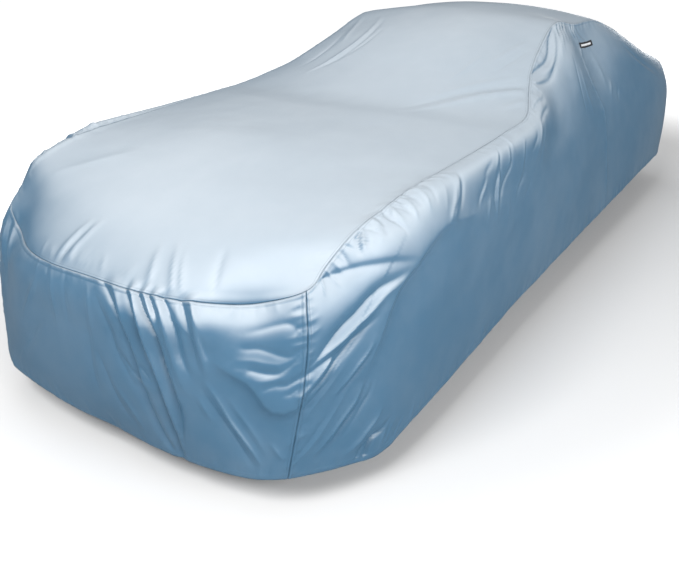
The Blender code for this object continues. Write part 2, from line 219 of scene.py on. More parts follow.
# Places on the panels round the cover are (along, down): metres round from the left front corner
# seam, positive towards the tail, and metres down from the top seam.
# Folds and creases. Columns: reach to the left and to the right of the run, seen from outside with
# the tail to the right, then its points as along, down and rise, in millimetres. A trough has a
# negative rise, and one side's reach may be far longer than the other's, which makes a ledge.
SKIRT_CREASES = (
    # long folds down the nose: troughs, and the round ridges that stand between them
    (12, 10, (-735, 0, -4), (-668, 60, -14), (-635, 130, -17), (-600, 240, -19), (-583, 340, -19),
     (-545, 480, -20), (-508, 575, -14)),
    (9, 11, (-622, 0, -8), (-567, 100, -19), (-553, 170, -23), (-518, 265, -26), (-493, 345, -28),
     (-468, 490, -28), (-460, 600, -14)),
    (10, 9, (-572, 0, -11), (-528, 65, -20), (-492, 115, -24), (-465, 222, -26), (-438, 337, -23),
     (-431, 420, -19), (-440, 520, -7)),
    (7, 7, (-528, 0, -11), (-505, 30, -14), (-482, 60, -7)),
    (11, 12, (-472, 0, -11), (-427, 65, -16), (-410, 120, -16), (-398, 192, -12), (-370, 250, -3)),
    (10, 10, (-400, 0, -7), (-370, 72, -12), (-354, 152, -11), (-342, 220, -3)),
    (8, 10, (-345, 60, -1), (-320, 136, -8), (-308, 180, -1)),
    (14, 14, (-690, 0, 4), (-640, 60, 11), (-612, 140, 12), (-580, 240, 12), (-562, 330, 8)),
    (15, 15, (-600, 0, 11), (-548, 90, 20), (-525, 170, 23), (-490, 280, 20), (-465, 400, 17),
     (-452, 540, 4)),
    (13, 14, (-545, 0, 8), (-500, 62, 14), (-470, 150, 16), (-448, 240, 14), (-422, 350, 8)),
    (16, 18, (-500, 0, 8), (-455, 60, 17), (-432, 150, 17), (-412, 240, 11), (-385, 330, 1)),
    (12, 14, (-360, 0, 7), (-338, 80, 14), (-325, 160, 12), (-308, 240, 3)),
    # left of them, finer
    (10, 12, (-745, 60, -3), (-696, 154, -8), (-678, 232, -8), (-648, 288, -8), (-604, 352, -4)),
    (6, 6, (-655, 238, -3), (-618, 292, -8), (-584, 332, -6), (-560, 380, -1)),
    (6, 6, (-582, 248, -1), (-550, 286, -8), (-530, 320, -3)),
    (9, 12, (-770, 260, -1), (-742, 340, -5), (-712, 430, -5), (-665, 520, -1)),
    (9, 9, (-700, 380, 1), (-655, 450, 5), (-610, 540, 1)),
    (8, 10, (-800, 30, 1), (-782, 120, 5), (-790, 220, 1)),
    # low on the nose, towards the corner
    (8, 7, (-318, 262, 1), (-272, 331, 8), (-236, 399, 11), (-190, 464, 10), (-155, 510, 8),
     (-125, 556, 3)),
    (7, 9, (-334, 285, -1), (-290, 360, -7), (-232, 450, -8), (-180, 525, -6), (-140, 570, 0)),
    (8, 8, (-350, 320, 1), (-330, 352, 6), (-305, 405, 1)),
    (8, 9, (-250, 300, 0), (-190, 390, 6), (-130, 480, 4), (-100, 530, 0)),
    (7, 8, (-95, 480, 0), (-62, 520, 6), (-30, 560, 3)),
    # the swag slung round the corner of the nose: pale above, dark under it
    (110, 20, (-300, 170, 0), (-264, 199, 12), (-236, 213, 19), (-197, 232, 24), (-168, 250, 26),
     (-146, 280, 27), (-124, 315, 27), (-104, 343, 26), (-73, 362, 25), (-40, 368, 23),
     (0, 357, 19), (25, 328, 13), (60, 302, 8), (100, 282, 0)),
    # crescents inside it
    (14, 11, (-190, 92, -1), (-129, 84, -4), (-90, 80, -5), (-56, 84, -5), (-34, 104, -3)),
    (5, 5, (-38, 122, -1), (-34, 112, -3), (-20, 107, -3), (2, 110, -2)),
    (12, 8, (-205, 136, -1), (-180, 140, -4), (-152, 141, -5), (-107, 160, -5), (-73, 180, -5),
     (-50, 188, -4), (-20, 176, -3), (2, 172, -1)),
    (9, 16, (-215, 176, 1), (-160, 178, 4), (-110, 196, 4), (-70, 208, 3), (-30, 196, 1)),
    (14, 7, (-182, 208, -1), (-165, 210, -6), (-140, 219, -7), (-107, 230, -8), (-79, 232, -6),
     (-56, 220, -5), (-32, 205, -2)),
    (8, 12, (-160, 238, 1), (-120, 250, 3), (-80, 252, 3), (-45, 245, 1)),
    (12, 8, (-134, 280, -1), (-110, 272, -5), (-85, 270, -6), (-56, 279, -6), (-34, 274, -6),
     (0, 268, -6), (30, 261, -6), (60, 258, -5), (95, 266, -4)),
    (5, 6, (-58, 306, -1), (-40, 309, -4), (-28, 303, -4), (-14, 294, -1)),
    (6, 7, (-70, 130, 0), (-30, 134, 2), (4, 138, 1)),
    (6, 7, (-50, 152, 0), (-20, 150, -2), (6, 154, -1)),
    (5, 6, (-42, 24, 0), (-18, 22, -2), (2, 26, -1)),
    (5, 6, (-60, 52, 0), (-22, 50, -2), (3, 54, -1)),
    # far front corner
    (14, 18, (-1550, 0, 3), (-1500, 60, 10), (-1440, 130, 2)),
    (12, 12, (-1600, 40, 2), (-1560, 120, 9), (-1530, 210, 1)),
    (9, 10, (-1580, 10, -1), (-1530, 90, -7), (-1490, 170, -1)),
    (11, 13, (-1090, 60, 2), (-1170, 170, 9), (-1250, 260, 1)),
    (14, 14, (-1105, 250, -2), (-1230, 370, -9), (-1350, 480, -1)),
    (12, 12, (-1200, 330, 1), (-1290, 430, 6), (-1370, 520, 0)),
    (14, 14, (-800, 210, -3), (-812, 330, -6), (-800, 450, -1)),
    (10, 12, (-1010, 20, 1), (-985, 120, 4), (-990, 240, 0)),
    (10, 10, (-930, 10, -1), (-912, 100, -4), (-915, 210, 0)),
    # from the corner seam along the fender, under the bonnet
    (9, 26, (20, 20, -3), (60, 6, -7), (104, 18, -10), (141, 38, -10), (172, 53, -9),
     (209, 78, -8), (292, 135, -7), (400, 185, -4), (475, 211, -1)),
    # the deep trough from the corner to the fender, and the pale band that stands under it
    (17, 14, (440, 226, -1), (349, 223, -7), (276, 204, -11), (219, 195, -13), (160, 196, -13),
     (104, 194, -12), (73, 207, -11), (47, 224, -8), (16, 250, -3)),
    (10, 10, (420, 246, 1), (330, 244, 4), (235, 250, 9), (172, 242, 10), (115, 242, 10),
     (78, 236, 9), (37, 240, 6), (10, 254, 2)),
    # the second one, which meets the swag's lower edge
    (7, 8, (270, 290, -1), (214, 282, -5), (177, 275, -7), (130, 270, -8), (99, 270, -8)),
    (10, 8, (200, 276, 0), (151, 283, -6), (115, 286, -8), (83, 296, -9), (57, 311, -9),
     (26, 328, -8), (5, 354, -6), (-12, 374, -3)),
    (9, 9, (150, 262, 1), (94, 266, 5), (57, 285, 7), (21, 311, 7), (-11, 336, 5)),
    (6, 6, (170, 290, 1), (136, 302, 4), (94, 323, 5), (42, 345, 4), (0, 385, 2)),
    (7, 8, (215, 292, -1), (167, 296, -5), (110, 312, -6), (83, 330, -6), (42, 354, -5),
     (10, 380, -4), (-6, 410, -1)),
    (8, 8, (130, 340, 1), (90, 362, 3), (50, 392, 3), (20, 430, 1)),
    # the fender's outer edge, where it turns down into the flat side
    (24, 105, (1010, 244, 0), (860, 232, 9), (746, 212, 16), (647, 206, 21), (563, 210, 24),
     (501, 224, 26), (430, 238, 26), (372, 262, 24), (334, 300, 22), (297, 348, 18),
     (262, 395, 13), (235, 425, 9), (205, 470, 0)),
    # down from it towards the hem
    (7, 8, (250, 362, 1), (230, 380, 6), (193, 388, 7), (160, 400, 6), (120, 412, 3)),
    (7, 7, (258, 384, -1), (215, 396, -6), (170, 412, -7), (120, 430, -2)),
    (8, 8, (235, 482, -1), (219, 509, -7), (198, 546, -8), (162, 562, -8), (120, 592, -6),
     (80, 622, -2)),
    (8, 7, (215, 480, 1), (192, 516, 6), (160, 535, 7), (110, 570, 6), (70, 600, 1)),
    (7, 8, (255, 510, -1), (245, 537, -6), (219, 558, -7), (188, 583, -5), (150, 615, -1)),
    (8, 8, (160, 440, 1), (110, 490, 4), (60, 550, 4), (20, 590, 1)),
    (8, 8, (90, 470, -1), (50, 530, -4), (10, 585, -2)),
    # gathered at the hem behind the front corner
    (10, 12, (300, 650, 2), (271, 678, 8), (245, 685, 10), (215, 698, 10), (175, 700, 4)),
    (7, 9, (350, 728, -2), (323, 744, -7), (297, 747, -11), (266, 738, -13), (248, 757, -14),
     (240, 785, -10)),
    (6, 6, (268, 736, -4), (240, 735, -8), (222, 742, -10), (212, 760, -5)),
    (6, 6, (372, 760, 1), (349, 779, 4), (334, 815, 2)),
    (5, 6, (358, 756, -1), (338, 776, -4), (322, 806, -2)),
    (6, 6, (420, 796, 1), (396, 816, 4), (376, 838, 2)),
    (6, 6, (405, 790, -1), (384, 808, -4), (364, 830, -2)),
    (6, 6, (330, 770, 1), (312, 790, 4), (300, 815, 1)),
    # gathers under the bonnet's seam
    (6, 6, (338, 4, -4), (322, 14, -9), (280, 30, -10), (264, 44, -8), (250, 60, -3)),
    (8, 8, (334, 16, 4), (312, 30, 11), (286, 44, 11), (264, 56, 2)),
    (6, 7, (352, 14, -3), (325, 34, -9), (296, 52, -8), (268, 66, -2)),
    (7, 8, (408, 10, 2), (382, 34, 8), (352, 62, 5), (330, 84, 1)),
    (6, 7, (430, 14, -2), (404, 42, -7), (372, 74, -3)),
    (6, 6, (482, 4, -3), (468, 14, -8), (443, 54, -5)),
    (6, 7, (505, 8, -3), (478, 24, -8), (446, 60, -8), (455, 106, -2)),
    (7, 7, (520, 6, 2), (490, 34, 8), (470, 70, 4)),
    (6, 7, (580, 6, -2), (556, 34, -8), (522, 68, -3)),
    (7, 7, (600, 8, 2), (572, 44, 7), (540, 90, 2)),
    (6, 7, (648, 8, -2), (622, 40, -7), (596, 78, -2)),
    (8, 8, (700, 8, 2), (668, 50, 6), (630, 110, 1)),
    (7, 8, (760, 10, -1), (726, 54, -6), (690, 110, -1)),
    (10, 12, (905, 60, 1), (862, 130, 8), (800, 185, 6), (762, 215, 1)),
    (8, 10, (930, 70, -1), (890, 140, -6), (840, 190, -1)),
    # under the windscreen's corner
    (8, 7, (880, 90, 1), (845, 120, 3), (814, 151, 4), (777, 178, 4), (751, 197, 3)),
    (6, 7, (888, 108, -1), (855, 138, -3), (819, 171, -4), (786, 186, -1)),
    (9, 9, (800, 60, 1), (772, 110, 2), (735, 160, 1)),
    (7, 8, (1290, 50, 1), (1264, 78, 3), (1236, 104, 3), (1205, 130, 1)),
    (6, 6, (1296, 52, -1), (1283, 74, -3), (1256, 115, -4), (1250, 150, -4), (1250, 186, -1)),
    (6, 6, (1392, 62, 1), (1370, 90, 3), (1352, 126, 3), (1340, 146, 1)),
    (6, 7, (1400, 70, -1), (1382, 98, -3), (1368, 140, -4), (1325, 167, -5), (1278, 193, -5),
     (1241, 228, -5), (1208, 275, -2), (1190, 330, -1)),
    (7, 7, (1250, 140, 1), (1225, 178, 4), (1204, 224, 5), (1184, 268, 3), (1172, 310, 1)),
    (6, 6, (1225, 140, -1), (1215, 157, -4), (1189, 189, -4), (1163, 235, -4), (1160, 280, -1)),
    (7, 7, (1210, 84, -1), (1185, 96, -2), (1132, 114, -3), (1100, 130, -1)),
    (7, 7, (1110, 150, 0), (1078, 178, 3), (1046, 200, 2), (1020, 225, 1)),
    (6, 7, (1108, 138, -1), (1080, 160, -3), (1028, 194, -3), (1000, 216, -1)),
    (6, 6, (1120, 225, 1), (1104, 250, 3), (1085, 285, 1)),
    (8, 8, (1090, 205, 0), (1070, 260, -1), (1040, 320, -1)),
    (8, 9, (1530, 208, -1), (1502, 228, -3), (1455, 247, -3), (1398, 297, -1)),
    (8, 8, (1510, 190, 1), (1470, 222, 2), (1410, 260, 1), (1380, 290, 0)),
    (8, 9, (1600, 262, -1), (1580, 280, -2), (1539, 300, -2), (1490, 330, -1)),
    (7, 8, (1560, 88, 1), (1540, 106, 3), (1510, 152, 3), (1490, 190, 1)),
    (6, 7, (1570, 92, -1), (1549, 110, -3), (1534, 164, -3), (1510, 205, -1)),
    (9, 9, (1740, 84, -1), (1720, 100, -3), (1659, 126, -3), (1600, 160, -1)),
    (7, 7, (1450, 12, 1), (1434, 30, 4), (1424, 60, 3), (1420, 90, 1)),
    (8, 9, (1340, 240, 0), (1300, 330, 1), (1280, 430, 0)),
    (9, 10, (1400, 330, 0), (1360, 430, -1), (1340, 520, 0)),
    # along the pillar, up to the gather under the roof edge
    (16, 9, (2700, 2, -2), (2650, 14, -6), (2582, 30, -11), (2478, 64, -13), (2394, 64, -12),
     (2337, 46, -10), (2285, 30, -8), (2232, 12, -5), (2165, 4, -2)),
    (10, 12, (2660, 44, 2), (2570, 80, 6), (2450, 104, 7), (2370, 96, 6), (2300, 80, 1)),
    (10, 9, (2740, 8, -2), (2728, 24, -6), (2655, 52, -7), (2560, 90, -6), (2462, 116, -6),
     (2347, 128, -6), (2285, 116, -5), (2232, 92, -5), (2180, 63, -4), (2136, 30, -1)),
    (8, 9, (2280, 90, 1), (2220, 66, 4), (2150, 30, 4), (2120, 16, 1)),
    (5, 6, (2096, 46, -1), (2072, 36, -5), (2030, 32, -5), (1994, 28, -1)),
    (6, 7, (2130, 76, 0), (2110, 66, -4), (2070, 58, -4), (2040, 54, -1)),
    (6, 6, (2050, 92, -1), (2019, 80, -5), (1961, 61, -6), (1883, 38, -5), (1850, 30, -1)),
    (8, 8, (2030, 62, 1), (1960, 40, 4), (1900, 18, 3), (1870, 10, 1)),
    (8, 9, (2070, 138, -1), (2030, 132, -4), (1970, 118, -5), (1878, 92, -4), (1830, 80, -1)),
    (8, 8, (2110, 96, 0), (2080, 94, -4), (2030, 92, -3), (1990, 90, 0)),
    (9, 10, (1880, 70, 0), (1800, 100, 4), (1720, 150, 3), (1650, 200, 0)),
    (8, 9, (1900, 110, 0), (1820, 150, -3), (1740, 210, -2), (1680, 260, 0)),
    # pleats from the gather
    (6, 7, (2706, 0, 3), (2690, 40, 7), (2640, 90, 4), (2560, 140, 1)),
    (6, 6, (2766, 0, -3), (2757, 30, -9), (2700, 60, -8), (2600, 90, -3), (2467, 138, -1)),
    (6, 6, (2748, 0, 4), (2742, 30, 8), (2690, 80, 5), (2620, 130, 1)),
    (5, 6, (2800, 0, -3), (2794, 22, -9), (2770, 50, -8), (2732, 70, -3)),
    (5, 6, (2784, 0, 4), (2778, 30, 8), (2755, 64, 6), (2710, 110, 1)),
    (6, 7, (2816, 0, 3), (2812, 24, 6), (2795, 60, 5), (2770, 120, 1)),
    (6, 6, (2884, 0, 4), (2892, 52, 8), (2908, 100, 6), (2914, 122, 2)),
    (6, 7, (2898, 0, -4), (2908, 50, -6), (2926, 100, -4), (2935, 130, -1)),
    (8, 10, (2935, 0, 2), (2975, 60, 5), (3040, 130, 3), (3100, 200, 0)),
    (9, 10, (2960, 0, -2), (3010, 70, -4), (3090, 160, -1)),
    (8, 9, (2700, 180, 0), (2660, 300, -4), (2640, 420, -3), (2650, 560, 0)),
    (10, 10, (2760, 260, 0), (2740, 400, 4), (2760, 560, 0)),
    # across the tail: a swag, and the slack that hangs from its seam
    (60, 18, (4800, 330, 0), (5000, 400, 8), (5300, 430, 9), (5600, 425, 9), (5900, 395, 7),
     (6250, 330, 0)),
    (22, 26, (4900, 60, 0), (4880, 220, 6), (4860, 420, 7), (4850, 600, 5)),
    (20, 22, (5080, 40, 0), (5100, 200, -6), (5130, 420, -6), (5150, 600, -4)),
    (26, 22, (5420, 60, 0), (5440, 240, 5), (5430, 460, 6), (5420, 600, 4)),
    (20, 24, (5700, 50, 0), (5680, 220, -6), (5650, 450, -6), (5640, 600, -3)),
    (24, 22, (5960, 60, 0), (5990, 220, 6), (6010, 420, 7), (6020, 600, 5)),
    (16, 16, (6180, 40, -1), (6160, 180, -6), (6120, 330, -2)),
    (12, 13, (5000, 10, 2), (4975, 90, 5), (4930, 180, 1)),
    (12, 12, (5320, 8, -1), (5300, 90, -5), (5250, 200, 0)),
    # over the rear wing
    (14, 20, (3550, 160, -2), (3680, 225, -8), (3860, 250, -8), (4120, 262, -1)),
    (14, 18, (3600, 215, 1), (3760, 275, 7), (3980, 300, 5), (4150, 300, 0)),
    (7, 8, (3165, 375, 0), (3156, 404, 5), (3130, 440, 4), (3120, 480, 0)),
    (6, 7, (3250, 430, 0), (3238, 452, -4), (3222, 480, -4), (3215, 510, 0)),
    (12, 12, (3060, 180, 0), (3100, 300, 4), (3090, 420, 0)),
    (9, 11, (2560, 1040, 0), (2540, 1090, -5), (2535, 1130, -3)),
)
# The same for the far side, with distances from the right front corner seam.
FAR_SIDE_CREASES = (
    # the pillar lies flatter there
    (55, 55, (2000, 10, -2), (2200, 36, -6), (2400, 46, -8), (2600, 36, -6), (2760, 10, -2)),
    # the fender's outer edge, and the troughs that run to it from the corner
    (26, 100, (1010, 250, 0), (850, 236, 10), (740, 214, 17), (640, 206, 21), (555, 212, 23),
     (480, 232, 24), (410, 262, 20), (350, 318, 15), (300, 380, 9), (250, 450, 0)),
    (15, 16, (430, 215, -2), (330, 216, -10), (240, 200, -16), (150, 192, -17), (70, 212, -12),
     (15, 245, -4)),
    (10, 10, (420, 250, 1), (300, 252, 8), (190, 246, 12), (90, 250, 9), (20, 268, 3)),
    (9, 9, (210, 290, -2), (140, 296, -9), (80, 322, -12), (30, 360, -8), (-10, 400, -3)),
    (8, 9, (230, 400, 1), (150, 430, 6), (80, 480, 6), (10, 540, 2)),
    (8, 9, (240, 470, -1), (190, 520, -7), (120, 570, -6), (60, 620, -1)),
    # gathers under the bonnet's seam
    (7, 7, (350, 8, -4), (318, 30, -9), (280, 52, -4)),
    (8, 8, (330, 14, 3), (300, 40, 9), (270, 58, 2)),
    (6, 7, (560, 6, -3), (540, 40, -8), (520, 80, -3)),
    (7, 7, (590, 4, 3), (572, 44, 7), (548, 90, 1)),
    (6, 6, (700, 4, -3), (684, 40, -6), (660, 80, -1)),
    (7, 7, (760, 6, 3), (735, 50, 7), (700, 96, 1)),
    # under the windscreen's corner
    (7, 8, (1300, 60, 1), (1262, 100, 5), (1205, 150, 1)),
    (6, 7, (1320, 66, -1), (1286, 110, -6), (1240, 190, -7), (1200, 270, -2)),
    (8, 8, (1440, 80, -1), (1420, 140, -6), (1360, 200, -6), (1300, 270, -2)),
    (8, 8, (1580, 90, 1), (1548, 140, 5), (1520, 210, 1)),
    (7, 8, (1590, 100, -1), (1560, 165, -5), (1530, 230, -1)),
    (9, 9, (1760, 90, -1), (1700, 130, -5), (1610, 180, -1)),
    # along the pillar, and pleats from the gather at its top
    (10, 10, (2740, 10, -2), (2640, 60, -7), (2480, 112, -7), (2320, 110, -5), (2180, 60, -2)),
    (8, 8, (2060, 40, -1), (1990, 70, -6), (1900, 50, -2)),
    (8, 9, (2080, 120, -1), (1990, 126, -5), (1880, 96, -1)),
    (6, 7, (2712, 0, 2), (2690, 50, 6), (2640, 110, 2)),
    (6, 6, (2770, 2, -3), (2750, 50, -7), (2690, 100, -2)),
    (6, 7, (2800, 2, 3), (2790, 50, 6), (2765, 110, 1)),
    (7, 7, (2900, 2, 3), (2912, 60, 6), (2940, 130, 1)),
    (7, 7, (2925, 2, -2), (2945, 60, -5), (2985, 130, -1)),
    (9, 10, (2970, 4, 2), (3010, 80, 5), (3090, 190, 0)),
    # gathered at the hem behind the front corner
    (10, 12, (310, 655, 3), (276, 690, 13), (240, 704, 14), (190, 708, 5)),
    (7, 9, (345, 735, -3), (306, 752, -15), (262, 748, -20), (245, 780, -14)),
    (6, 6, (400, 790, 1), (378, 812, 6), (362, 835, 3)),
    # over the rear wing
    (14, 20, (3560, 170, -2), (3700, 235, -8), (3880, 258, -8), (4100, 270, -1)),
    (14, 18, (3620, 225, 1), (3780, 285, 7), (3980, 306, 5), (4140, 306, 0)),
)


CREST = 0.35  # how round a crest is, against its reach
CREASE_STEPS = 14

# Distances from the top seam and from the hem that get a row of points of their own.
SEAM_ROWS = np.array((0, 1.2, 2.6, 5, 8, 11, 13, 15, 19, 24)) * MM
HEM_ROWS = np.array((40, 30, 25, 22.5, 20, 12, 3, 0)) * MM
SEAM_COLUMNS = np.array((0, 1.2, 2.6, 5, 8, 11, 13, 15, 19)) * MM
FELL = 0.0125  # width of a felled seam's raised band
FELL_RISE = 0.0011
FELL_START, FELL_END = 0.003, 0.0025  # widths over which the band rises and falls
STITCH_ROWS = (0.0028, 0.0108)  # from the seam's line
STITCH_DEPTH, STITCH_WIDTH = 0.0004, 0.0011
GROOVE_DEPTH, GROOVE_WIDTH = 0.0010, 0.0016  # along the seam's line
LAPPED = 0.004  # this near an upright seam, that one lies over the top's
HEM = 0.021  # width of the turned-up hem
HEM_RISE = 0.0011
HEM_STEP = 0.0022  # width over which it rises
HEM_STITCHES = 0.0185  # from its edge
TURN_DEPTH, TURN_WIDTH = 0.002, 0.006  # how far its edge is rolled in, and over what width
PUCKER_START = 0.006  # how far from a seam its puckers are at their full height
SWELL, WAVE = 0.0020, 0.0002  # heights of the cloth's slow unevenness
HELD = 0.05  # this near a seam, the cloth is held even
TRIALS = 121  # points down an even column, from which its own rows are read
CLOTH = 0.0015
# Cloth that faces this place is painted paler: a painted sheen that stands for the gloss of a light
# above the nose.
PAINTED_SHEEN_PLACE = (2.2, -3.0, 5.0)
PAINTED_SHEEN_POWER = 37  # square metres: cloth that faces it from 6.1 m counts as 1


def through(knots, values, at):
    """A smooth curve through values at the knots, read at the given places."""
    step = np.diff(knots)
    shape = (-1,) + (1,) * (values.ndim - 1)
    wide = step.reshape(shape)
    slope = np.diff(values, axis=0) / wide
    lean = np.empty_like(values)
    lean[1:-1] = (slope[:-1] * wide[1:] + slope[1:] * wide[:-1]) / (wide[1:] + wide[:-1])
    lean[0] = 2 * slope[0] - lean[1]
    lean[-1] = 2 * slope[-1] - lean[-2]
    span = np.clip(np.searchsorted(knots, at, side="right") - 1, 0, len(step) - 1)
    wide = wide[span]
    t = ((at - knots[span]) / step[span]).reshape(shape)
    start = (2 * t**3 - 3 * t**2 + 1) * values[span] + (t**3 - 2 * t**2 + t) * wide * lean[span]
    end = (3 * t**2 - 2 * t**3) * values[span + 1] + (t**3 - t**2) * wide * lean[span + 1]
    return start + end


def chord(points):
    """Distance along a line of points, from its first."""
    return np.concatenate(((0.0,), np.cumsum(np.linalg.norm(np.diff(points, axis=0), axis=1))))


def ease(x):
    x = np.clip(x, 0, 1)
    return x * x * (3 - 2 * x)


sections = np.array(NOSE + SIDE + TAIL) * MM
mirrored = sections * (-1, 1, 1)
ring = np.concatenate((mirrored[3:0:-1], sections, mirrored[-2:-5:-1]))
round_at = chord(ring[:, 2:4].mean(axis=1))
corner = 3 + len(NOSE)
round_at -= round_at[corner]
NOSE_MIDDLE, MIDDLE = round_at[3], round_at[corner + MIDDLE_SEAM]
REAR, TAIL_MIDDLE = round_at[corner + len(SIDE) - 1], round_at[-4]
FAR_CORNER, FAR_MIDDLE = 2 * NOSE_MIDDLE, 2 * NOSE_MIDDLE - MIDDLE
# the right rear corner, counted round the nose and round the tail
FAR_REAR, FAR_TAIL = 2 * NOSE_MIDDLE - REAR, 2 * TAIL_MIDDLE - REAR
UPRIGHT_SEAMS = (0, MIDDLE, REAR, FAR_CORNER, FAR_MIDDLE, FAR_REAR, FAR_TAIL)


def settled(points):
    """The points with the far front corner drawn in and its hem up a little."""
    drawn = ease(-points[..., 0] / 0.5) * ease((0.7 - points[..., 1]) / 1.0)
    points[..., 0] += DRAWN_IN * drawn
    points[..., 2] += HEM_UP * drawn * ease((0.5 - points[..., 2]) / 0.4)
    return points


def lofted(along, share):
    """Points round an even cover, at distances along and shares of the way down, unfolded."""
    near = np.where(along < NOSE_MIDDLE, 2 * NOSE_MIDDLE - along, along)
    near = np.where(near > TAIL_MIDDLE, 2 * TAIL_MIDDLE - near, near)
    points = np.empty(share.shape + (3,))
    for k, section in enumerate(through(round_at, ring, near)):
        knots = chord(section)
        points[k] = through(knots / knots[-1], section, share[k])
    points[(along < NOSE_MIDDLE) | (along > TAIL_MIDDLE), :, 0] *= -1
    return points


def hung(along, share):
    """The same points on the cover as it really sits."""
    return settled(lofted(along, share))


def crease_height(places, creases):
    """How far out the creases push the cloth at each place."""
    height = np.zeros(places.shape[:-1])
    for left, right, *points in creases:
        points = np.array(points) * MM
        knots = chord(points[:, :2])
        line = through(knots, points, np.linspace(0, knots[-1], CREASE_STEPS + 1))
        margin = 5 * MM * max(left, right)
        low, high = line[:, :2].min(axis=0) - margin, line[:, :2].max(axis=0) + margin
        near = ((places > low) & (places < high)).all(axis=-1)
        run = np.diff(line, axis=0)
        off = places[near][:, None] - line[:-1, :2]
        part = (off * run[:, :2]).sum(axis=-1) / (run[:, :2] ** 2).sum(axis=-1)
        part = np.clip(part, 0, 1)
        off -= part[..., None] * run[:, :2]
        away = np.linalg.norm(off, axis=-1)
        best = away.argmin(axis=1)[:, None]
        least = away.min(axis=1, keepdims=True)
        # blended between the nearest stretches, so that it doesn't jump from one to the next
        share = np.exp((least - away) / (4 * MM + 0.3 * least))
        rise = ((line[:-1, 2] + part * run[:, 2]) * share).sum(axis=1) / share.sum(axis=1)
        turned = run[:, 0] * off[..., 1] - run[:, 1] * off[..., 0]
        on_right = np.take_along_axis(turned, best, axis=1)[:, 0] > 0
        reach = np.where(on_right, right, left) * MM
        away = np.take_along_axis(away, best, axis=1)[:, 0]
        soft = CREST * reach
        height[near] += rise * np.exp(-(np.sqrt(away**2 + soft**2) - soft) / reach)
    return height


def puckers(seed, start, end, level, turn, length, rise, pitch=32):
    """Creases, in millimetres, that run out of a stretch of seam or hem to one side.

    A seam with turn 0 runs along, and its puckers run down from the level. One with turn 1 runs
    down, and its puckers run along. A negative length sends them the other way."""
    chance = np.random.default_rng(seed)
    made, at = [], start
    while at < end:
        far = length * chance.uniform(0.5, 1.5)
        high = rise * chance.uniform(0.4, 1.3) * chance.choice((1, 1, -0.8))
        lean = chance.normal(0, 0.25) * abs(far)
        width = chance.uniform(0.16, 0.26) * pitch
        line = [(at, level + 0.05 * far, 0.35 * high), (at + 0.3 * lean, level + 0.35 * far, high)]
        line.append((at + lean, level + far, 0))
        if turn:
            line = [(down, along, lift) for along, down, lift in line]
        made.append((width, width, *line))
        at += pitch * chance.uniform(0.55, 1.7)
    return made


def drift(places, seed):
    """Slow unevenness of hung cloth: broad swells and shorter upright waves."""
    flat = places.reshape(-1, 2)
    swell = [noise.fractal((a * 3.3, d * 4.6, seed), 1.0, 2.0, 2) for a, d in flat]
    wave = [noise.noise((a * 15, d * 6.5, seed + 9.5)) for a, d in flat]
    return (SWELL * np.array(swell) + WAVE * np.array(wave)).reshape(places.shape[:-1])


def groove(away):
    """Depth of the groove along a seam, at a distance from its line."""
    return GROOVE_DEPTH * np.exp(-((away / GROOVE_WIDTH) ** 2))


def felled(away):
    """A felled seam's own relief at a distance from its line: a groove and then a flat band."""
    band = ease(away / FELL_START) * ease((FELL + FELL_END - away) / FELL_END)
    stitched = sum(np.exp(-(((away - row) / STITCH_WIDTH) ** 2)) for row in STITCH_ROWS)
    return FELL_RISE * band - groove(away) - STITCH_DEPTH * stitched


def spread(start, end, count, bend=1.0):
    """Places from one upright seam to the next, with extra ones beside the two seams. A bend over
    1 packs them towards the start."""
    span = abs(end - start)
    inner = np.linspace(0, 1, count) ** bend * (span - 2 * SEAM_COLUMNS[-1]) + SEAM_COLUMNS[-1]
    away = np.concatenate((SEAM_COLUMNS[:-1], inner, span - SEAM_COLUMNS[-2::-1]))
    return start + np.sign(end - start) * away


def rows_down(count):
    """Depths of the rows of points in a column of a given length, closer at its seam and hem."""
    def rows(length):
        middle = np.linspace(SEAM_ROWS[-1], length - HEM_ROWS[0], count + 2)[1:-1]
        return np.concatenate((SEAM_ROWS, middle, length - HEM_ROWS))
    return rows


# How far an upright seam wanders sideways, in millimetres: its place, how far off the cloth still
# moves with it, and then its depths and shifts.
SEAM_SWAY = (
    (0, 120, (0, 0), (60, 4), (130, 8), (190, 6), (290, -2), (400, -13), (470, -18), (640, -20)),
    (1000 * MIDDLE, 220, (0, 0), (30, -22), (60, -38), (95, -30), (145, -42), (215, -66),
     (300, -72), (360, -64), (420, -38), (520, 2), (640, 6), (750, 10), (1000, 18)),
    (1000 * FAR_MIDDLE, 220, (0, 0), (50, 14), (200, 36), (400, 24), (600, -8), (1000, -12)),
)
SWAY_STEPS = (-0.08, -0.04, 0.0, 0.04)  # shifts between which a swayed place is worked out


def sway(places):
    """How far the cloth is pulled sideways by a wandering seam at each place."""
    shift = np.zeros(places.shape[:-1])
    for seam, reach, *knots in SEAM_SWAY:
        depth, pull = np.array(knots).T * MM
        wander = through(depth, pull, np.clip(places[..., 1], 0, depth[-1]).ravel())
        off = (places[..., 0] - seam * MM) / (reach * MM)
        shift += wander.reshape(shift.shape) * np.exp(-(off**2))
    return shift


